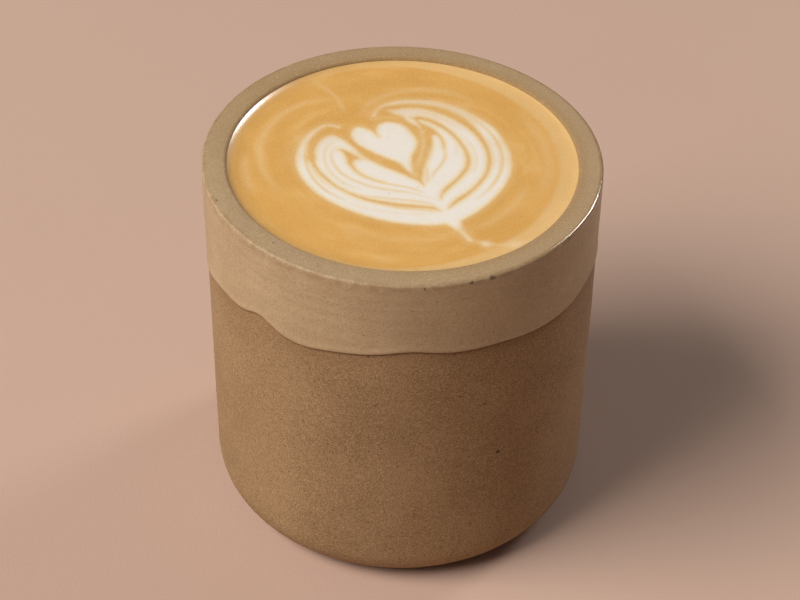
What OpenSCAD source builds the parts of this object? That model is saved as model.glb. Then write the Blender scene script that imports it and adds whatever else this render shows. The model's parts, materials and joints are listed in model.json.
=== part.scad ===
// A latte, filled to the brim, in a straight stoneware tumbler without a handle.
// Raw speckled clay below, a satin glaze over the rim and inside, a tulip poured in milk foam on top.
// Millimetres, +Z up. The origin is the middle of the foot, on the table.

/* [Tumbler] */
// Outside diameter over the glaze
cup_d = 85; // [70:1:110]
// Height over the glazed rim
cup_h = 87; // [60:1:140]
// Clay wall
wall = 4.8; // [3.5:0.1:7]
// Clay floor
floor_t = 6.7; // [4:0.1:12]
// Rounding from the outside wall to the foot
foot_round = 8.9; // [3:0.1:12]
// Rounding from the inside wall to the floor
well_round = 8; // [2:0.1:12]
// Outer rounding of the rim
rim_round_out = 1.3; // [0.6:0.1:2]
// Inner rounding of the rim
rim_round_in = 1.1; // [0.6:0.1:1.8]

/* [Glaze] */
// Thickness of the glaze coat
glaze_t = 0.3; // [0.2:0.05:0.6]
// How far the glaze comes down the outside, below the rim
glaze_drop = 20.2; // [10:0.1:40]

/* [Drink] */
// Gap from the top of the rim down to the drink
brim_gap = 0.5; // [0.3:0.1:30]
// Depth of the milk foam that makes the drawing
foam_t = 1.5; // [0.8:0.1:4]
// Share of the drink's radius that the drawing's stem reaches
art_reach = 0.8; // [0.4:0.01:0.95]

/* [Hidden] */
$fn = 96;
spare = 1;                              // how far a cutting shape runs past what it cuts
clay_r = cup_d / 2 - glaze_t;           // outside of the clay
clay_h = cup_h - glaze_t;               // top of the clay rim
bore_r = clay_r - wall;                 // inside of the clay
drink_r = bore_r - glaze_t;             // inside of the glaze, where the drink stands
drink_z = cup_h - brim_gap;             // level of the drink
well_z = floor_t + glaze_t;             // bottom of the drink
mid_r = (clay_r + bore_r) / 2;          // middle of the wall
drawn_r = 29.6;                         // radius that the stem reaches in the points below
art_scale = art_reach * drink_r / drawn_r;

// Each run of the glaze's lower edge: direction, rise over the plain line, half width.
// A negative rise is a drip.
glaze_runs = [
    [-85, 1.9, 24], [-87, 0.9, 7], [-133, 2.2, 5.5], [-118, -0.6, 7], [-60, 0.6, 9],
    [-22, 0.8, 6], [-175, -5, 16], [150, 1.2, 14], [118, -1.6, 12], [86, 1.5, 15],
    [50, -1.8, 14], [18, 1.1, 12]
];
edge_stretches = 12;                     // stretches that the lower edge is cut in
edge_steps = 10;                         // straight steps in each
edge_overlap = 0.6;                      // degrees that each stretch runs past the next

// The drawing, as poured: points of closed outlines, and ribbons as [x, y, width].
heart = [
    [-9.9, 11.6], [-11.4, 10.6], [-11.4, 8], [-9.8, 5.4], [-7, 2.9], [-3.6, 0.8], [-1, -0.9],
    [0.5, -3.3], [1.9, -5.2], [1.1, -1.8], [1.2, 1.8], [2.2, 5.6], [1.7, 9.2], [-0.4, 12.4],
    [-3.4, 13.8], [-5.6, 12.8], [-6.1, 10.6], [-5.8, 8.1], [-7.5, 10.2]
];
leaves = [
    [-15.7, 8.7], [-17.7, 7.4], [-18.9, 4.6], [-19.1, 1], [-18.4, -2.6], [-16.4, -6], [-13.2, -9.8],
    [-8.4, -12.7], [-3, -14.3], [3, -15.1], [6.1, -15.6], [7.3, -16.8], [8.6, -18], [9, -16],
    [7.4, -12.8], [7.9, -9.6], [10, -6.6], [11.9, -3.2], [12.7, 0], [12.3, 3.6], [10.6, 7.7],
    [8, 11.4], [5.2, 13.9], [3, 14.8], [3.2, 13.6], [4.3, 12.8], [5.9, 11.6], [7.3, 9.8], [8.3, 7.6],
    [8.6, 5.4], [8.1, 4.2], [7.5, 7.2], [6.7, 9], [5.9, 8.9], [6, 6.6], [5.7, 3.4], [5, 0.2],
    [4.2, -2.5], [3.7, -5.5], [4.1, -8.7], [2, -6.6], [-1.6, -4.4], [-5, -2.3], [-7.7, -0.1],
    [-9.8, 2.4], [-11.8, 4.9], [-13.6, 7.1]
];
left_eye = [
    [-14.4, 3.5], [-13.3, 3.7], [-11.4, 2.3], [-9.7, 0.3], [-10.6, -0.3], [-10.8, -1.6], [-9.9, -3.8],
    [-8.2, -5.5], [-6.2, -6.8], [-4.2, -7.7], [-6.5, -7.3], [-9, -5.9], [-10.9, -3.9], [-12.2, -1.6],
    [-12.8, 0.8], [-13.5, 2.5]
];
outer_left = [
    [-14.6, 11.6, 0.8], [-16.9, 12.2, 1], [-19.3, 10.3, 1.3], [-21.3, 6.5, 1.5], [-21.9, 2, 2],
    [-21.2, -2.6, 2.9], [-19.2, -7.1, 3.5], [-15.2, -11.9, 3.9], [-9, -16.1, 4.1], [-2, -18.5, 4.8],
    [5, -19.2, 5], [9.4, -19.2, 3.4]
];
outer_right = [
    [-7, 16.2, 0.9], [-6.2, 18.6, 1.2], [-4, 20.4, 1.5], [0, 21.5, 1.8], [4, 21.4, 2.2],
    [8.2, 20.3, 2.5], [12, 17.9, 2.6], [15.7, 14, 3], [18.3, 9.7, 3.3], [19.9, 4.8, 3.8],
    [20.4, 0, 3.9], [19.7, -4.6, 4], [17.6, -9.4, 4.2], [14.4, -14.1, 4.4], [10.4, -18.2, 4.4]
];
inner_right = [
    [-3.8, 18.1, 0.8], [-2, 17.7, 2.4], [0.4, 17.5, 3.7], [3, 17.7, 3.2], [5.6, 16.8, 2.9],
    [8.2, 15.1, 3], [11.3, 11.9, 3.3], [13.7, 7.9, 3.4], [15.3, 3.6, 3.3], [15.6, -0.4, 3.1],
    [14.7, -4.2, 3.2], [12.3, -8.5, 3.3], [9.3, -12.3, 2.6], [8, -16, 1.6]
];
side_strand = [[-0.6, 16.8, 2], [1.1, 14.6, 1.4], [2.7, 12.6, 0.9], [3.6, 10.2, 0.7]];
stem = [[9.9, -20.2, 3.8], [10.5, -21.6, 2.1], [11.3, -23.1, 1.4], [12.4, -24.9, 1.1], [13.3, -26.4, 0.7]];

// A smooth curve through the points (Catmull-Rom).
function between(a, b, c, d, t) =
    0.5 * (2 * b + (c - a) * t + (2 * a - 5 * b + 4 * c - d) * t * t + (3 * b - a - 3 * c + d) * t * t * t);
function open_curve(p, steps) = let (n = len(p) - 1) [
    for (i = [0 : n - 1], s = [0 : steps - 1])
        between(p[max(i - 1, 0)], p[i], p[i + 1], p[min(i + 2, n)], s / steps),
    p[n]
];
function closed_curve(p, steps) = let (n = len(p)) [
    for (i = [0 : n - 1], s = [0 : steps - 1])
        between(p[(i + n - 1) % n], p[i], p[(i + 1) % n], p[(i + 2) % n], s / steps)
];

// The two sides of a ribbon and its round ends.
function heading(q, i) = let (a = q[max(i - 1, 0)], b = q[min(i + 1, len(q) - 1)])
    atan2(b[1] - a[1], b[0] - a[0]);
function off_side(p, angle) = [p[0] + p[2] / 2 * cos(angle), p[1] + p[2] / 2 * sin(angle)];
function ribbon_outline(p, steps) = let (q = open_curve(p, steps), n = len(q) - 1) [
    for (i = [0 : n]) off_side(q[i], heading(q, i) - 90),
    for (turn = [-60 : 30 : 60]) off_side(q[n], heading(q, n) + turn),
    for (i = [n : -1 : 0]) off_side(q[i], heading(q, i) + 90),
    for (turn = [120 : 30 : 240]) off_side(q[0], heading(q, 0) + turn)
];

// The glaze's lower edge.
function turn_between(a, b) = abs((a - b + 540) % 360 - 180);
function edge_z(a) = cup_h - glaze_drop
    + [for (run = glaze_runs) run[1] * exp(-pow(turn_between(a, run[0]) / run[2], 2))]
    * [for (run = glaze_runs) 1];

// The sliver outside a quarter circle of radius r, in the corner at [r, r].
module spandrel(r) {
    difference() {
        square(r);
        circle(r);
    }
}

// Half section of the hollow: radius r, bottom at z, rounded by f.
module hollow_section(r, z, f) {
    translate([0, z]) difference() {
        square([r, cup_h]);
        translate([r - f, f]) mirror([0, 1]) spandrel(f);
    }
}

// Half section of the tumbler, grown by g on every face but the foot.
module cup_section(g) {
    r = clay_r + g;
    h = clay_h + g;
    bore = bore_r - g;
    out = rim_round_out - glaze_t + g;
    in = rim_round_in - glaze_t + g;
    difference() {
        square([r, h]);
        translate([r - foot_round, foot_round]) mirror([0, 1]) spandrel(foot_round);
        translate([r - out, h - out]) spandrel(out);
        translate([bore + in, h - in]) mirror([1, 0]) spandrel(in);
        hollow_section(bore, floor_t + g, well_round - g);
    }
}

module cup() {
    color("#8d6446") rotate_extrude() cup_section(0);
}

// One stretch of the space under the glaze's lower edge, cut from inside the wall outwards.
module below_edge(mid_angle) {
    half = 180 / edge_stretches + edge_overlap;
    reach = clay_r + glaze_t;
    turns = [for (i = [0 : edge_steps]) half * (2 * i / edge_steps - 1)];
    outline = [
        [-reach * sin(half), -spare],
        for (a = turns) [reach * sin(a), edge_z(mid_angle + a)],
        [reach * sin(half), -spare]
    ];
    rotate([90, 0, mid_angle + 90]) translate([0, 0, mid_r])
        linear_extrude(reach + spare - mid_r) polygon(outline);
}

module glaze() {
    color("#c9a47c") difference() {
        rotate_extrude() difference() {
            cup_section(glaze_t);
            cup_section(0);
            square([clay_r + spare, floor_t]);
            translate([bore_r, 0]) square([wall + spare, foot_round]);
        }
        for (i = [0 : edge_stretches - 1]) {
            below_edge((i + 0.5) * 360 / edge_stretches);
        }
    }
}

module drawing() {
    scale(art_scale) {
        polygon(closed_curve(heart, 4));
        difference() {
            polygon(closed_curve(leaves, 4));
            polygon(closed_curve(left_eye, 4));
        }
        for (ribbon = [outer_left, outer_right, inner_right, side_strand, stem]) {
            polygon(ribbon_outline(ribbon, 4));
        }
    }
}

module milk_foam() {
    color("#ece0d4") translate([0, 0, drink_z - foam_t]) linear_extrude(foam_t) drawing();
}

module coffee() {
    color("#dea75a") difference() {
        rotate_extrude() intersection() {
            hollow_section(drink_r, well_z, well_round - glaze_t);
            square([drink_r, drink_z]);
        }
        translate([0, 0, drink_z - foam_t]) linear_extrude(foam_t + spare) drawing();
    }
}

cup();
glaze();
coffee();
milk_foam();
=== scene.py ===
import json
import math

import bmesh
import bpy
import numpy as np
from mathutils import Matrix, Vector, noise

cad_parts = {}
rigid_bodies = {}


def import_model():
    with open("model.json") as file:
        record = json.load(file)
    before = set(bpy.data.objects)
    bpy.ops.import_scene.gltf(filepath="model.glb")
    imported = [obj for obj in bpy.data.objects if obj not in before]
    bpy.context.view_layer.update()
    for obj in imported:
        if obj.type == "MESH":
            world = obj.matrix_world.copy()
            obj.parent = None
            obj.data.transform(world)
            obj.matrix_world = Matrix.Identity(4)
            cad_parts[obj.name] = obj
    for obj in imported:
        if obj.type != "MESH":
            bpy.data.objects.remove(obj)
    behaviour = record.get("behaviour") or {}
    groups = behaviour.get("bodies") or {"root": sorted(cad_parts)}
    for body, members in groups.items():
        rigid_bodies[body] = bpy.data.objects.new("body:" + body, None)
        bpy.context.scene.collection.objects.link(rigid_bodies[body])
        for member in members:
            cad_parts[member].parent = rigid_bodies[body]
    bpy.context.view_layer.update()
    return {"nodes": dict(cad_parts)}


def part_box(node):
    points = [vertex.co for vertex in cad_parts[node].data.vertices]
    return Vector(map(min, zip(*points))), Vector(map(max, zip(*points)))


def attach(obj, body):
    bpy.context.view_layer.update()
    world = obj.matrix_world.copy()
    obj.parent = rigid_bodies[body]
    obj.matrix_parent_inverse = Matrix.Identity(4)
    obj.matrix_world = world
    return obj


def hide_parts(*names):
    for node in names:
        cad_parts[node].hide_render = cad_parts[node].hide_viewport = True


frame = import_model()
mm = 0.001

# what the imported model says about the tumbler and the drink
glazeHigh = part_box("glaze")[1]
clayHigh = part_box("cup")[1]
drinkLow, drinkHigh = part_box("coffee")
outerRadius = glazeHigh.x
clayRadius = clayHigh.x
rimTop = glazeHigh.z
drinkRadius = drinkHigh.x
drinkLevel = drinkHigh.z
glazeThick = outerRadius - clayRadius
boreRadius = drinkRadius + glazeThick


def meshPoints(obj):
    points = np.empty(len(obj.data.vertices) * 3)
    obj.data.vertices.foreach_get("co", points)
    return points.reshape(-1, 3)


clayPoints = meshPoints(frame["nodes"]["cup"])
clayReach = np.hypot(clayPoints[:, 0], clayPoints[:, 1])
footRound = clayPoints[clayReach > clayRadius - 0.01 * mm, 2].min()
print("frame read: radius", round(outerRadius, 4), "height", round(rimTop, 4))


# shader helpers
class Wire:
    def __init__(self, shader, socket):
        self.shader = shader
        self.socket = socket

    def combine(self, operation, first, second):
        return self.shader.add("ShaderNodeMath", {"operation": operation}, {0: first, 1: second})

    def __add__(self, other):
        return self.combine("ADD", self, other)

    def __radd__(self, other):
        return self.combine("ADD", other, self)

    def __sub__(self, other):
        return self.combine("SUBTRACT", self, other)

    def __rsub__(self, other):
        return self.combine("SUBTRACT", other, self)

    def __mul__(self, other):
        return self.combine("MULTIPLY", self, other)

    def __truediv__(self, other):
        return self.combine("DIVIDE", self, other)

    def __pow__(self, other):
        return self.combine("POWER", self, other)


class Shader:
    def __init__(self, name):
        self.material = bpy.data.materials.new(name)
        self.material.use_nodes = True
        self.tree = self.material.node_tree
        self.tree.nodes.clear()
        self.place = self.add("ShaderNodeTexCoord", {}, {}, "Object")
        self.inMm = self.add("ShaderNodeVectorMath", {"operation": "SCALE"}, {0: self.place, "Scale": 1000.0})

    def node(self, kind, settings, sockets):
        node = self.tree.nodes.new(kind)
        for key, value in settings.items():
            setattr(node, key, value)
        for key, value in sockets.items():
            if isinstance(value, Wire):
                self.tree.links.new(value.socket, node.inputs[key])
            else:
                node.inputs[key].default_value = value
        return node

    def add(self, kind, settings, sockets, output=0):
        return Wire(self, self.node(kind, settings, sockets).outputs[output])

    def rise(self, value, low, high, start=0.0, end=1.0):
        return self.add("ShaderNodeMapRange", {"interpolation_type": "SMOOTHSTEP"},
                        {"Value": value, "From Min": low, "From Max": high, "To Min": start, "To Max": end})

    def blend(self, factor, first, second):
        return self.add("ShaderNodeMix", {"data_type": "RGBA"},
                        {0: factor, 6: first, 7: second}, 2)

    def cloud(self, scale, detail=2.0, roughness=0.5, vector=None, distortion=0.0):
        return self.add("ShaderNodeTexNoise", {},
                        {"Vector": vector or self.inMm, "Scale": scale, "Detail": detail,
                         "Roughness": roughness, "Distortion": distortion})

    def attribute(self, name):
        return self.add("ShaderNodeAttribute", {"attribute_name": name}, {}, "Fac")

    def parts(self, vector):
        node = self.node("ShaderNodeSeparateXYZ", {}, {0: vector})
        return [Wire(self, out) for out in node.outputs]

    def finish(self, constants, varying, height, depth):
        bump = self.add("ShaderNodeBump", {}, {"Height": height, "Distance": depth, "Strength": 1.0})
        surface = self.add("ShaderNodeBsdfPrincipled", {}, {**constants, **varying, "Normal": bump})
        self.node("ShaderNodeOutputMaterial", {}, {"Surface": surface})
        return self.material


def shade(red, green, blue):
    return (red, green, blue, 1.0)


# mesh helpers
def turned(name, corners, roundings, spacing, steps, closed):
    # a profile in the XZ plane, its corners rounded and its long edges cut, spun round Z
    bm = bmesh.new()
    verts = [bm.verts.new((x, 0.0, z)) for x, z in corners]
    ends = verts[1:] + (verts[:1] if closed else [])
    for pair in zip(verts, ends):
        bm.edges.new(pair)
    for index, (radius, segments) in roundings.items():
        bmesh.ops.bevel(bm, geom=[verts[index]], offset=radius, offset_type="OFFSET", segments=segments,
                        profile=0.5, affect="VERTICES", material=-1, clamp_overlap=False)
    for edge in list(bm.edges):
        middle = (edge.verts[0].co + edge.verts[1].co) / 2
        cuts = int(edge.calc_length() / spacing(middle.x, middle.z))
        if cuts:
            bmesh.ops.subdivide_edges(bm, edges=[edge], cuts=cuts)
    bmesh.ops.spin(bm, geom=bm.verts[:] + bm.edges[:], cent=(0, 0, 0), axis=(0, 0, 1), dvec=(0, 0, 0),
                   angle=2 * math.pi, steps=steps, use_merge=True)
    bmesh.ops.remove_doubles(bm, verts=bm.verts, dist=0.002 * mm)
    bmesh.ops.recalc_face_normals(bm, faces=bm.faces)
    mesh = bpy.data.meshes.new(name)
    bm.to_mesh(mesh)
    bm.free()
    mesh.shade_smooth()
    obj = bpy.data.objects.new(name, mesh)
    bpy.context.scene.collection.objects.link(obj)
    return obj


def movePoints(obj, points):
    obj.data.vertices.foreach_set("co", points.ravel())
    obj.data.update()


def writeAttribute(obj, name, values):
    obj.data.attributes.new(name, "FLOAT", "POINT").data.foreach_set("value", values.astype(np.float32))


def settle(obj, material, slot, *nodes):
    obj.data.materials.append(material)
    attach(obj, "root")
    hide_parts(*nodes)


# the glaze's lower edge
def lowerEdge():
    # height of the glaze's lower edge all round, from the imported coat
    points = meshPoints(frame["nodes"]["glaze"])
    reach = np.hypot(points[:, 0], points[:, 1])
    edge = points[(reach > outerRadius - 0.05 * mm) & (points[:, 2] < rimTop - 5 * mm)]
    angle = np.arctan2(edge[:, 1], edge[:, 0])
    order = np.argsort(angle)
    turns = np.linspace(-math.pi, math.pi, 721)[:-1]
    heights = np.interp(turns, angle[order], edge[order, 2], period=2 * math.pi)
    kernel = np.hanning(9) / np.hanning(9).sum()
    smooth = np.convolve(np.concatenate([heights[-4:], heights, heights[:4]]), kernel, "valid")
    return turns, smooth


edgeTurns, edgeHeights = lowerEdge()


def edgeAt(points):
    angle = np.arctan2(points[:, 1], points[:, 0])
    return np.interp(angle, edgeTurns, edgeHeights, period=2 * math.pi)


thrown = {"swell": 0.10 * mm, "rings": 0.02 * mm, "rimLean": 0.45 * mm, "rimWave": 0.06 * mm,
          "rimAside": -0.35 * mm}


def handThrown(points):
    # slight unevenness of a thrown pot, the same for the clay and its glaze
    shaped = points.copy()
    reach = np.hypot(points[:, 0], points[:, 1])
    angle = np.arctan2(points[:, 1], points[:, 0])
    swell = np.array([noise.noise(Vector((math.cos(a) * 1.3, math.sin(a) * 1.3, z * 30)))
                      for a, z in zip(angle, points[:, 2])])
    rings = np.sin(points[:, 2] / mm * 1.9 + np.sin(points[:, 2] / mm * 0.23) * 3)
    standing = np.clip(points[:, 2] / (6 * mm), 0, 1) * np.clip((reach - 0.8 * drinkRadius) / (3 * mm), 0, 1)
    grow = 1 + (swell * thrown["swell"] + rings * thrown["rings"] * (swell + 0.6)) * standing / outerRadius
    shaped[:, 0] *= grow
    shaped[:, 1] *= grow
    shaped[:, 0] += np.clip(points[:, 2] / rimTop, 0, 1) ** 1.5 * thrown["rimAside"]
    near = np.clip((points[:, 2] - (rimTop - 25 * mm)) / (25 * mm), 0, 1) ** 2
    near = near * np.clip((reach - 0.9 * drinkRadius) / (0.1 * drinkRadius), 0, 1)
    shaped[:, 2] += near * (-points[:, 0] / outerRadius * thrown["rimLean"]
                            + np.sin(3 * angle + 0.7) * thrown["rimWave"])
    return shaped


def aboutRim(s):
    # place in millimetres and reach, measured from the middle of the rim
    x, y, z = s.parts(s.inMm)
    x = x - thrown["rimAside"] / mm
    return x, y, z, (x * x + y * y) ** 0.5


def placeAt(turn, reach, height):
    # a place in millimetres, from its direction in degrees
    return (math.cos(math.radians(turn)) * reach, math.sin(math.radians(turn)) * reach, height)


# clay body
clayLook = {
    "light": shade(0.405, 0.25, 0.124), "dark": shade(0.285, 0.167, 0.076), "bright": shade(0.56, 0.38, 0.21),
    "grain": shade(0.15, 0.078, 0.038), "iron": shade(0.045, 0.02, 0.01), "rust": shade(0.23, 0.105, 0.042),
    "shadow": shade(0.15, 0.075, 0.034),
    # pits in the side: direction, depth of its middle under the clay's side, height, size
    "pits": [(-60, 0.0, 36.5, 0.42), (-65, 0.0, 52, 0.20), (125, 0.2, 30, 0.35), (31, 0.3, 55, 0.28),
             (160, 0.3, 22, 0.30)],
}


def clayMaterial():
    s = Shader("rawClay")
    mottle = s.cloud(0.05, 3.0, 0.5)
    patches = s.cloud(0.9, 4.0, 0.7)
    colour = s.blend(s.rise(mottle * 0.45 + patches * 0.55, 0.32, 0.68), clayLook["dark"], clayLook["light"])
    sand = s.cloud(3.0, 3.0, 0.85)
    colour = s.blend(s.rise(sand, 0.50, 0.64, 0.0, 0.60), colour, clayLook["grain"])
    colour = s.blend(s.rise(sand, 0.48, 0.36, 0.0, 0.60), colour, clayLook["bright"])
    cells = s.node("ShaderNodeTexVoronoi", {}, {"Vector": s.inMm, "Scale": 0.8, "Randomness": 1.0})
    dots = s.rise(Wire(s, cells.outputs["Distance"]), 0.19, 0.10)
    chance = s.parts(Wire(s, cells.outputs["Color"]))[0]
    specks = dots * s.rise(chance, 0.70, 0.74)
    colour = s.blend(specks * 0.6, colour, clayLook["iron"])
    pits = None
    for turn, inward, height, size in clayLook["pits"]:
        spot = placeAt(turn, clayRadius / mm - inward, height)
        away = s.add("ShaderNodeVectorMath", {"operation": "DISTANCE"}, {0: s.inMm, 1: spot}, "Value")
        pit = s.rise(away, size * 1.25, size * 0.75)
        pits = pit if pits is None else pits + pit
    colour = s.blend(pits, colour, clayLook["iron"])
    below = s.attribute("belowGlaze") + (s.cloud(0.9, 3.0, 0.6) - 0.5) * 0.5
    halo = s.rise(below, 4.5, 0.3) * s.rise(patches, 0.35, 0.65)
    colour = s.blend(halo * 0.45, colour, clayLook["rust"])
    colour = s.blend(s.rise(below, 0.9, 0.1) * 0.6, colour, clayLook["shadow"])
    rough = s.rise(sand, 0.3, 0.7, 0.72, 0.92)
    relief = sand * 0.6 + s.cloud(8.0, 2.0, 0.6) * 0.25 + patches * 0.3 - specks * 0.25 - pits * 1.5
    return s.finish({"Specular IOR Level": 0.3}, {"Base Color": colour, "Roughness": rough}, relief, 0.00016)


def makeClayBody():
    shape = {"steps": 360, "outside": 0.8 * mm, "inside": 4 * mm, "proud": 0.14 * mm}
    floor = drinkLow.z - glazeThick
    corners = [(0, 0), (clayRadius, 0), (clayRadius, rimTop - glazeThick),
               (boreRadius, rimTop - glazeThick), (boreRadius, floor), (0, floor)]
    body = turned("clayBody", corners,
                  {1: (footRound, 14), 2: (1.0 * mm, 4), 3: (0.8 * mm, 4), 4: (7.5 * mm, 8)},
                  lambda x, z: shape["outside"] if x > boreRadius + mm else shape["inside"],
                  shape["steps"], False)
    points = meshPoints(body)
    below = (edgeAt(points) - points[:, 2]) / mm
    writeAttribute(body, "belowGlaze", below)
    outside = np.hypot(points[:, 0], points[:, 1]) > boreRadius + mm
    grow = 1 + outside * np.clip(below / 1.5, 0, 1) * shape["proud"] / clayRadius
    points[:, 0] *= grow
    points[:, 1] *= grow
    movePoints(body, handThrown(points))
    settle(body, clayMaterial(), "raw_clay", "cup")
    print("clay body:", len(body.data.polygons), "faces")


# glaze coat
glazeLook = {
    "pale": shade(0.505, 0.36, 0.208), "warm": shade(0.455, 0.315, 0.178), "bright": shade(0.66, 0.50, 0.33),
    "thin": shade(0.30, 0.175, 0.085), "iron": shade(0.075, 0.032, 0.015), "stain": shade(0.30, 0.145, 0.045),
    # painted glow: the shaded inner wall on the left, lit as if by light through the drink's edge
    "paintedAmberGlow": shade(0.62, 0.34, 0.12),
    # rim: the rim top's darker colour, partly its own glaze and partly painted shade
    "rim": shade(0.35, 0.205, 0.075), "chip": shade(0.17, 0.085, 0.04),
    "lip": 0.11 * mm, "lipTall": 0.7 * mm,
    # chips and iron spots: direction, how far in from the outside, how far below the top, size
    "spots": [(203, 0.6, 0.1, 0.75), (229, 3.0, 0.0, 0.42), (276, 0.1, 0.7, 0.45), (289, 0.0, 0.8, 0.55),
              (295, 0.0, 0.7, 0.85), (323, 0.0, 0.8, 0.8), (60, 0.3, 0.6, 0.5), (102, 0.1, 0.7, 0.4)],
}


def glazeMaterial():
    s = Shader("satinGlaze")
    x, y, z, reach = aboutRim(s)
    mottle = s.cloud(0.07, 4.0, 0.55)
    fine = s.cloud(2.4, 3.0, 0.65)
    colour = s.blend(s.rise(mottle, 0.35, 0.68), glazeLook["warm"], glazeLook["pale"])
    cells = s.node("ShaderNodeTexVoronoi", {}, {"Vector": s.inMm, "Scale": 0.42, "Randomness": 1.0})
    dots = s.rise(Wire(s, cells.outputs["Distance"]), 0.12, 0.05)
    specks = dots * s.rise(s.parts(Wire(s, cells.outputs["Color"]))[0], 0.80, 0.84)
    colour = s.blend(specks * 0.6, colour, glazeLook["iron"])
    # the glaze is thin over its lower edge and where the drink has stained the inside of the rim; towards the
    # left, where that wall is in shade, the stain becomes a painted amber glow, standing for light through
    # the drink's edge
    above = s.attribute("aboveEdge")
    colour = s.blend(s.rise(above, 0.55, 0.0) * 0.55, colour, glazeLook["thin"])
    wall = s.rise(reach, drinkRadius / mm + 1.2, drinkRadius / mm + 0.7)
    ring = s.rise(reach, drinkRadius / mm + 1.15, drinkRadius / mm + 0.55)
    ring = ring * s.rise(z, drinkLevel / mm - 4, drinkLevel / mm - 1)
    tide = s.rise(s.cloud(0.3, 4.0, 0.7), 0.36, 0.6, 0.5, 1.0)
    tide = tide * s.rise((y - x * 0.45) / reach, -0.2, 0.7, 0.3, 1.0)
    # the real brown stain, giving way on the left to painted amber glow
    stain = s.blend(s.rise(x / reach, -0.2, -0.8), glazeLook["stain"], glazeLook["paintedAmberGlow"])
    colour = s.blend(ring * tide * 0.85, colour, stain)
    # the rim's flat top in a darker colour: partly its own glaze, partly painted shade that dims the sheen it
    # catches. The painted shade deepens towards the drink, where the inner rounding turns from the light, and
    # fades on the side towards the window, where painted light keeps the top pale
    onTop = s.attribute("rimFace")
    shadeTowardDrink = s.rise(reach, boreRadius / mm + 2.8, boreRadius / mm - 0.2)
    litTowardWindow = s.rise((x * -0.8 - y * 0.6) / reach, 0.2, 1.0, 0.0, 0.5)
    colour = s.blend((0.60 + shadeTowardDrink * 0.28) * onTop * (1 - litTowardWindow), colour, glazeLook["rim"])
    colour = s.blend(s.rise(fine, 0.51, 0.66, 0.0, 0.40), colour, glazeLook["thin"])
    colour = s.blend(s.rise(fine, 0.47, 0.34, 0.0, 0.28), colour, glazeLook["bright"])
    spots = None
    for turn, inward, below, size in glazeLook["spots"]:
        spot = placeAt(turn, outerRadius / mm - inward, rimTop / mm - below)
        away = s.add("ShaderNodeVectorMath", {"operation": "DISTANCE"}, {0: s.inMm, 1: spot}, "Value")
        chip = s.rise(away + (s.cloud(1.6, 3.0, 0.7) - 0.5) * 1.6, size * 0.95, size * 0.35)
        spots = chip if spots is None else spots + chip
    colour = s.blend(spots * 0.8, colour, glazeLook["chip"])
    crease = s.rise(reach, outerRadius / mm - 1.1, outerRadius / mm - 0.6)
    crease = crease * s.rise(z, rimTop / mm - 2, rimTop / mm - 1)
    # broken painted shade along the outer crease, dimming the light its rounding catches, partly the glaze
    # breaking thin over the edge
    creaseShade = crease * s.rise(s.cloud(0.45, 3.0, 0.7), 0.40, 0.60, 0.0, 0.40)
    colour = s.blend(creaseShade, colour, glazeLook["thin"])
    glossy = crease * s.rise(x / reach, 0.1, 0.7)
    rough = s.rise(fine, 0.3, 0.7, 0.46, 0.60) * (1 - glossy * 0.74) + spots * 0.3 + wall * 0.35
    relief = s.cloud(0.8, 2.0, 0.5) * 0.5 + fine * 0.18 * (1 - glossy) - specks * 0.3 - spots * 0.8
    return s.finish({"Specular IOR Level": 0.38}, {"Base Color": colour, "Roughness": rough}, relief, 0.00012)


def makeGlazeCoat():
    shape = {"steps": 480, "outside": 0.5 * mm, "inside": 4 * mm, "still": 6 * mm}
    base = edgeHeights.min()
    inner = drinkRadius
    floor = drinkLow.z
    back = 0.05 * mm
    corners = [(clayRadius - back, base), (outerRadius, base), (outerRadius, rimTop), (inner, rimTop),
               (inner, floor), (0, floor), (0, floor - glazeThick), (boreRadius + back, floor - glazeThick),
               (boreRadius + back, rimTop - glazeThick - back),
               (clayRadius - back, rimTop - glazeThick - back)]
    coat = turned("glazeCoat", corners,
                  {1: (0.3 * mm, 5), 2: (0.6 * mm, 8), 3: (1.1 * mm, 8), 4: (8 * mm, 8), 7: (7.5 * mm, 8),
                   8: (0.9 * mm, 4), 9: (1.0 * mm, 4)},
                  lambda x, z: shape["outside"] if x > clayRadius + 0.1 * mm else shape["inside"],
                  shape["steps"], True)
    points = meshPoints(coat)
    reach = np.hypot(points[:, 0], points[:, 1])
    edge = edgeAt(points)
    fixed = rimTop - shape["still"]
    outside = (reach > 0.5 * (clayRadius + boreRadius)) & (points[:, 2] < fixed)
    share = np.where(outside, (fixed - points[:, 2]) / (fixed - base), 0.0)
    points[:, 2] = np.where(outside, fixed - share * (fixed - edge), points[:, 2])
    above = (points[:, 2] - edge) / mm
    writeAttribute(coat, "aboveEdge", np.where(outside, above, 20.0))
    flatPart = np.clip((points[:, 2] - rimTop) / mm / 0.8 + 1.1, 0, 1) * (reach < outerRadius - 0.2 * mm)
    writeAttribute(coat, "rimFace", np.where(reach < boreRadius + 2 * mm, 1.0, flatPart))
    lip = np.exp(-((points[:, 2] - edge - glazeLook["lipTall"]) / glazeLook["lipTall"]) ** 2)
    grow = 1 + np.where(outside & (reach > outerRadius - 0.1 * mm), lip, 0) * glazeLook["lip"] / outerRadius
    points[:, 0] *= grow
    points[:, 1] *= grow
    movePoints(coat, handThrown(points))
    settle(coat, glazeMaterial(), "satin_glaze", "glaze")
    print("glaze coat:", len(coat.data.polygons), "faces")


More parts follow.
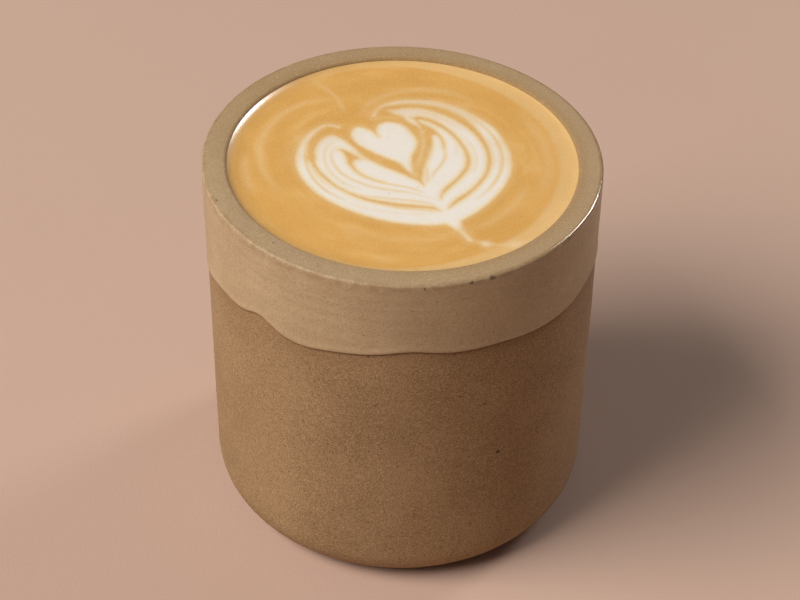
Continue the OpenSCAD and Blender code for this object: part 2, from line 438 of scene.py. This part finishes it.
# the drink and its drawing
drinkLook = {
    "sunk": 0.86 * mm, "climb": 0.98 * mm, "climbWide": 1.3 * mm, "drawingShift": (0.5, 0.7),
    "shrink": 0.9,
    "crema": shade(0.785, 0.438, 0.127), "deep": shade(0.725, 0.388, 0.102),
    "tan": shade(0.86, 0.61, 0.28), "pale": shade(0.83, 0.567, 0.268),
    "milk": shade(0.90, 0.825, 0.735), "cream": shade(0.89, 0.735, 0.49),
    # stain: dark specks in the foam, and the line where the drink meets the wall, which is partly painted
    # shade
    "stain": shade(0.30, 0.14, 0.045),
}
# tan lines left inside the milk: points in millimetres, half width, strength
tanLines = [
    ([(-21.1, 5.5), (-21.2, 2), (-20.9, -1.5), (-20.2, -4.5), (-18.6, -8), (-16, -11.4),
      (-12, -14.4)], 0.42, 0.83),
    ([(-20.1, 2), (-19.9, -1), (-19.2, -4), (-17.6, -7.4), (-15.4, -10.2)], 0.40, 0.45),
    ([(-15.4, 6), (-16.9, 4), (-17.2, 1), (-16.8, -1.8), (-15.8, -4.3), (-14.2, -6.7),
      (-12, -8.8), (-9, -10.5)], 0.45, 0.51),
    ([(-14.2, 4.9), (-15.5, 3.2), (-15.7, 0.8), (-15.2, -1.5), (-14.1, -3.8), (-12.5, -5.9), (-10.5, -7.4),
      (-8, -8.9), (-5, -10), (-1, -10.8), (2.5, -11.6), (5.4, -13.2)], 0.50, 0.64),
    ([(-6.5, -7.2), (-4.5, -8), (-1.5, -8.8), (1.5, -9.7), (4, -11)], 0.35, 0.77),
    ([(-9, -12.3), (-5, -13), (-1, -13.6), (3, -14.1), (6.2, -15)], 0.42, 0.64),
    ([(-12, -15.2), (-7, -17), (-2, -18), (3, -18.2), (7, -18)], 0.50, 0.23),
    ([(-4, -15.9), (0, -16.6), (4, -17), (7, -17.3)], 0.45, 0.58),
    ([(8.3, 5), (8.5, 3), (8.3, 0.6), (7.4, -1.8), (6.2, -4), (5.5, -6.5)], 0.50, 0.70),
    ([(10.4, 6.6), (10.9, 4.4), (11, 2)], 0.35, 0.32),
    ([(13.4, 16.9), (16.8, 13), (19.2, 8.5), (20.4, 4), (20.6, 0), (19.9, -4.2), (18, -8.8),
      (15, -13)], 0.50, 0.83),
    ([(2, 17.8), (5, 17.2), (8, 15.4), (11, 12.4)], 0.45, 0.38),
    ([(12, 9.8), (14.1, 6), (15.1, 2), (15, -1.5), (14.1, -4.5)], 0.40, 0.41),
    ([(4.6, -2), (4.6, -4.6), (5, -7.5)], 0.60, 0.58),
]


def sweep(middle, wide, deep, start, end):
    # points along part of an ellipse, its directions in degrees
    turns = np.radians(np.linspace(start, end, 9))
    return [(middle[0] + wide * math.cos(t), middle[1] + deep * math.sin(t)) for t in turns]


# pale swirls left in the crema: route in millimetres, half width, strength
paleLines = [
    (sweep((-16, 3), 15, 19, 85, 232), 0.9, 0.48),
    ([(-21.5, 29.5), (-17.5, 25.5), (-15.2, 22.2), (-13.5, 17.2)], 0.6, 0.45),
    (sweep((4, 15), 14, 11.2, 43, 175), 1.0, 0.45),
    (sweep((0, 0), 34, 34, 177, 201), 1.1, 0.39),
    ([(-25.4, -3), (-24.4, 3.6), (-22.6, 8)], 1.2, 0.22),
    ([(3.2, 10.4), (3.9, 7), (3.6, 3.4), (3, 0.2), (2.6, -3)], 0.7, 0.85),
    ([(4.8, 5.4), (4.9, 2.8), (4.3, 0)], 0.5, 0.60),
    ([(2.1, -1), (2, -3.6), (2.4, -6.2)], 0.8, 0.65),
    (sweep((20, -14), 14, 14, 239, 305), 0.55, 0.60),
    (sweep((0, 0), 27, 27, 300, 343), 1.1, 0.34),
    (sweep((0, 0), 30.4, 30.4, -24, 37), 1.4, 0.31),
    (sweep((0, 0), 26.5, 26.5, 243, 281), 1.2, 0.17),
    ([(-7.6, 15.2), (-7, 14.6), (-4.6, 15.6), (-2.4, 15.4)], 0.5, 0.49),
]
# places where the milk is thin: centre, reach, how much of it is lost
thinMilk = [((-17, 11.6), 5.2, 0.45), ((-21.6, 6), 4.5, 0.25), ((-6, 18.8), 4.5, 0.55),
            ((2, 21.6), 6, 0.45), ((9, 20.4), 5, 0.45), ((14.2, 16.4), 4.5, 0.4),
            ((3.2, 11.2), 2.6, 0.55), ((12.6, -25.4), 2.2, 0.3), ((-20.6, 0.4), 1.6, 0.4),
            ((-9.6, 1.4), 2.4, 0.30), ((2.2, -4.8), 1.6, 0.5), ((-1.2, 15.6), 1.6, 0.3),
            ((11.6, -23.6), 1.7, 0.3), ((20.6, 6.4), 3.2, 0.28), ((20.8, 0.6), 2.8, 0.22)]
# drops of milk beside the stem: centre, reach, strength
milkBlobs = [((16.6, -27.8), 1.15, 0.65), ((22.4, -27.8), 1.5, 0.40)]


def curveThrough(spots, steps=10):
    p = np.array([spots[0]] + list(spots) + [spots[-1]], float)
    t = np.linspace(0, 1, steps, endpoint=False)[:, None]
    runs = [0.5 * (2 * b + (c - a) * t + (2 * a - 5 * b + 4 * c - d) * t ** 2
                   + (3 * b - a - 3 * c + d) * t ** 3)
            for a, b, c, d in zip(p, p[1:], p[2:], p[3:])]
    return np.concatenate(runs + [p[-1:]])


def distanceTo(flat, starts, ends):
    # shortest distance from each point to a set of straight pieces
    best = np.full(len(flat), 1e9)
    for a, b in zip(starts, ends):
        along = b - a
        share = np.clip(((flat - a) @ along) / max(along @ along, 1e-12), 0, 1)
        best = np.minimum(best, ((flat - a - share[:, None] * along) ** 2).sum(1))
    return np.sqrt(best)


def foamOutline():
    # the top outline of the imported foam, as straight pieces in millimetres
    node = frame["nodes"]["milk_foam"]
    points = np.round(meshPoints(node) / mm, 4)
    top = points[:, 2].max() - 0.01
    seen = {}
    for face in node.data.polygons:
        ring = [points[i] for i in face.vertices]
        if min(p[2] for p in ring) > top:
            for a, b in zip(ring, ring[1:] + ring[:1]):
                ends = (tuple(a[:2]), tuple(b[:2]))
                key = tuple(sorted(ends))
                seen[key] = None if key in seen else ends
    pieces = np.array([ends for ends in seen.values() if ends])
    return pieces[:, 0], pieces[:, 1]


def insideOf(flat, starts, ends):
    crossings = np.zeros(len(flat), int)
    for a, b in zip(starts, ends):
        if a[1] != b[1]:
            level = (flat[:, 1] >= min(a[1], b[1])) & (flat[:, 1] < max(a[1], b[1]))
            side = a[0] + (flat[:, 1] - a[1]) * (b[0] - a[0]) / (b[1] - a[1])
            crossings += level & (flat[:, 0] < side)
    return crossings % 2 == 1


def lineStrength(flat, lines):
    # soft lines that fade at both ends
    total = np.zeros(len(flat))
    for spots, width, strength in lines:
        path = curveThrough(spots)
        along = np.linspace(0, 1, len(path))
        fade = np.minimum(1, 4 * np.minimum(along, 1 - along) + 0.15)
        near = np.zeros(len(flat))
        lows, highs = path.min(0) - 4 * width, path.max(0) + 4 * width
        close = ((flat > lows) & (flat < highs)).all(1)
        spot = flat[close]
        best = np.zeros(len(spot))
        for a, b, f in zip(path, path[1:], fade):
            gap = distanceTo(spot, [a], [b])
            best = np.maximum(best, np.exp(-(gap / width) ** 2) * f)
        near[close] = best
        total = np.maximum(total, near * strength)
    return total


def drinkMaterial():
    s = Shader("latte")
    x, y, _, reach = aboutRim(s)
    around = s.add("ShaderNodeCombineXYZ", {}, {0: reach * 0.16, 1: x / reach * 1.5, 2: y / reach * 1.5})
    bands = s.cloud(1.6, 4.0, 0.55, around, 0.4)
    mottle = s.cloud(0.09, 3.0, 0.5)
    micro = s.cloud(4.5, 2.0, 0.6)
    crema = s.blend(s.rise(bands * 0.65 + mottle * 0.35, 0.34, 0.64), drinkLook["deep"], drinkLook["crema"])
    crema = s.blend(s.rise(bands, 0.54, 0.72, 0.0, 0.25), crema, drinkLook["tan"])
    crema = s.blend(s.attribute("paleLine"), crema, drinkLook["pale"])
    # paler crema along the wall, widest on the right
    wallGap = drinkRadius / mm + 0.15 - reach
    wide = 1.7 + s.rise(x / reach, -0.2, 0.9, 0.0, 2.3) + (s.cloud(0.12, 3.0, 0.6) - 0.5) * 1.4
    paleBand = s.rise(wallGap / wide, 1.18, 0.78, 0.0, 0.56) * s.rise(x / reach, -0.8, 0.3, 0.2, 1.0)
    crema = s.blend(paleBand, crema, drinkLook["pale"])
    # milk, soft at its outline and tan along the lines left by the pour
    edge = s.attribute("milkEdge") + (s.cloud(0.9, 2.0, 0.5) - 0.5) * 0.35
    crema = s.blend(s.rise(edge, -2.2, -0.6, 0.0, 0.30), crema, drinkLook["pale"])
    body = s.rise(edge, -0.85, 0.27)
    milk = s.blend(s.rise(edge, -0.05, 1.0), drinkLook["cream"], drinkLook["milk"])
    milk = s.blend(s.rise(s.cloud(0.35, 3.0, 0.6, None, 0.6), 0.5, 0.72, 0.0, 0.25), milk, drinkLook["cream"])
    milk = s.blend(s.attribute("tanLine"), milk, drinkLook["tan"])
    colour = s.blend(body * s.attribute("milkBody"), crema, milk)
    colour = s.blend(s.attribute("milkBlob"), colour, drinkLook["cream"])
    colour = s.blend(s.rise(micro, 0.55, 0.8, 0.0, 0.10), colour, drinkLook["deep"])
    cells = s.node("ShaderNodeTexVoronoi", {}, {"Vector": s.inMm, "Scale": 0.33, "Randomness": 1.0})
    dots = s.rise(Wire(s, cells.outputs["Distance"]), 0.075, 0.04)
    specks = dots * s.rise(s.parts(Wire(s, cells.outputs["Color"]))[0], 0.70, 0.74)
    colour = s.blend(specks * 0.35, colour, drinkLook["stain"])
    # painted shade where the drink meets the wall, in the stain colour, partly a real brown tide line
    colour = s.blend(s.rise(wallGap, 0.10, -0.15) * 0.7, colour, drinkLook["stain"])
    rough = s.rise(micro, 0.3, 0.7, 0.2, 0.3)
    relief = micro * 0.3 + s.cloud(0.5, 2.0, 0.5) * 0.3
    return s.finish({"Specular IOR Level": 0.5, "Subsurface Weight": 0.12,
                     "Subsurface Radius": (1.0, 0.7, 0.45), "Subsurface Scale": 0.0012},
                    {"Base Color": colour, "Roughness": rough}, relief, 0.00004)


def makeDrink():
    shape = {"steps": 540, "ring": 0.32 * mm, "under": 5 * mm, "reachUnder": 0.45 * mm}
    wide = drinkRadius + shape["reachUnder"]
    deep = drinkLow.z + 0.1 * mm
    corners = [(0, drinkLevel), (wide, drinkLevel), (wide, drinkLevel - 1.2 * mm),
               (drinkRadius - 0.1 * mm, drinkLevel - 3 * mm), (drinkRadius - 0.1 * mm, deep), (0, deep)]
    drink = turned("latteDrink", corners, {4: (7.9 * mm, 6)},
                   lambda x, z: shape["ring"] if z > drinkLevel - 0.1 * mm else shape["under"],
                   shape["steps"], False)
    points = meshPoints(drink)
    flat = points[:, :2] / mm
    reach = np.hypot(flat[:, 0], flat[:, 1])
    flat = flat - drinkLook["drawingShift"]
    top = points[:, 2] > drinkLevel - 0.1 * mm
    climb = drinkLook["climb"] * np.exp(-(wide - reach * mm) / drinkLook["climbWide"])
    points[:, 2] += np.where(top, climb - drinkLook["sunk"], 0)
    starts, ends = foamOutline()
    near = top & (reach < np.hypot(starts[:, 0], starts[:, 1]).max() + 3)
    edge = np.full(len(flat), -3.0)
    gap = distanceTo(flat[near], starts, ends)
    edge[near] = np.where(insideOf(flat[near], starts, ends), gap, -gap)
    body = np.ones(len(flat))
    for spot, size, lost in thinMilk:
        body *= 1 - lost * np.exp(-(((flat - spot) ** 2).sum(1)) / size ** 2)
    writeAttribute(drink, "milkBody", body)
    writeAttribute(drink, "milkEdge", np.clip(edge - (1 - body) * drinkLook["shrink"], -3, 3))
    blob = np.zeros(len(flat))
    for spot, size, strength in milkBlobs:
        blob = np.maximum(blob, strength * np.exp(-(((flat - spot) ** 2).sum(1)) / size ** 2))
    writeAttribute(drink, "milkBlob", blob * top)
    writeAttribute(drink, "tanLine", lineStrength(flat, tanLines) * top)
    writeAttribute(drink, "paleLine", lineStrength(flat, paleLines) * top)
    movePoints(drink, handThrown(points))
    settle(drink, drinkMaterial(), "coffee", "coffee", "milk_foam")
    print("drink:", len(drink.data.polygons), "faces, outline of", len(starts), "pieces")


# floor, light and camera
def makeFloor():
    look = {"size": 6.0, "colour": shade(0.58, 0.39, 0.30), "cloudy": shade(0.52, 0.345, 0.26)}
    bm = bmesh.new()
    bmesh.ops.create_grid(bm, x_segments=1, y_segments=1, size=look["size"] / 2)
    mesh = bpy.data.meshes.new("studioFloor")
    bm.to_mesh(mesh)
    bm.free()
    floor = bpy.data.objects.new("studioFloor", mesh)
    bpy.context.scene.collection.objects.link(floor)
    s = Shader("paleFloor")
    tone = s.rise(s.cloud(0.02, 2.0, 0.5), 0.3, 0.7, 0.0, 0.08)
    colour = s.blend(tone, look["colour"], look["cloudy"])
    mesh.materials.append(s.finish({"Specular IOR Level": 0.2}, {"Base Color": colour, "Roughness": 0.8},
                                   s.cloud(1.5, 2.0, 0.5), 0.00005))


lamps = {
    "window": {"turn": -158, "height": 46, "away": 2.4, "size": (1.5, 1.3), "power": 69.0,
               "colour": (1.0, 0.98, 0.95)},
    "backWindow": {"turn": 38, "height": 26, "away": 1.5, "size": (0.3, 0.4), "power": 5.4,
                   "colour": (1.0, 0.98, 0.97)},
    "glint": {"turn": 42, "height": 38, "away": 1.5, "size": (0.30, 0.56), "power": 25.0,
              "colour": (1.0, 0.98, 0.97)},
}


def makeLights():
    look = {"fill": shade(0.95, 0.93, 0.92), "strength": 0.088, "wall": shade(0.60, 0.47, 0.39)}
    aim = Vector((0, 0, rimTop * 0.7))
    for name, lampLook in lamps.items():
        data = bpy.data.lights.new(name, "AREA")
        data.shape = "RECTANGLE"
        data.size, data.size_y = lampLook["size"]
        data.energy = lampLook["power"]
        data.color = lampLook["colour"]
        lamp = bpy.data.objects.new(name, data)
        turn, height = math.radians(lampLook["turn"]), math.radians(lampLook["height"])
        way = Vector((math.cos(turn) * math.cos(height), math.sin(turn) * math.cos(height), math.sin(height)))
        lamp.location = aim + way * lampLook["away"]
        lamp.rotation_euler = way.to_track_quat("Z", "Y").to_euler()
        lamp.visible_diffuse = name != "glint"
        bpy.context.scene.collection.objects.link(lamp)
    world = bpy.data.worlds.new("studio")
    world.use_nodes = True
    tree = world.node_tree
    fill = tree.nodes["Background"]
    fill.inputs["Color"].default_value = look["fill"]
    fill.inputs["Strength"].default_value = look["strength"]
    # a pale wall behind the table, seen but giving no light
    wall = tree.nodes.new("ShaderNodeBackground")
    wall.inputs["Color"].default_value = look["wall"]
    seen = tree.nodes.new("ShaderNodeLightPath")
    either = tree.nodes.new("ShaderNodeMixShader")
    tree.links.new(seen.outputs["Is Camera Ray"], either.inputs[0])
    tree.links.new(fill.outputs[0], either.inputs[1])
    tree.links.new(wall.outputs[0], either.inputs[2])
    tree.links.new(either.outputs[0], tree.nodes["World Output"].inputs["Surface"])
    bpy.context.scene.world = world


def makeCamera():
    look = {"lens": 94.7, "height": 40.44, "away": 0.471, "roll": 1.06, "aim": (-0.0004, 0, 0.0473)}
    data = bpy.data.cameras.new("mainView")
    data.lens = look["lens"]
    data.sensor_width = 36
    data.clip_start = 0.01
    camera = bpy.data.objects.new("mainView", data)
    height = math.radians(look["height"])
    place = Vector(look["aim"]) + Vector((0, -math.cos(height), math.sin(height))) * look["away"]
    tilt = Matrix.Rotation(math.radians(90) - height, 4, "X")
    tilt = tilt @ Matrix.Rotation(math.radians(look["roll"]), 4, "Z")
    camera.matrix_world = Matrix.Translation(place) @ tilt
    bpy.context.scene.collection.objects.link(camera)
    bpy.context.scene.camera = camera
    bpy.context.scene.view_settings.view_transform = "Standard"


makeCamera()
makeLights()
makeFloor()
makeClayBody()
makeGlazeCoat()
makeDrink()

print("scene made")
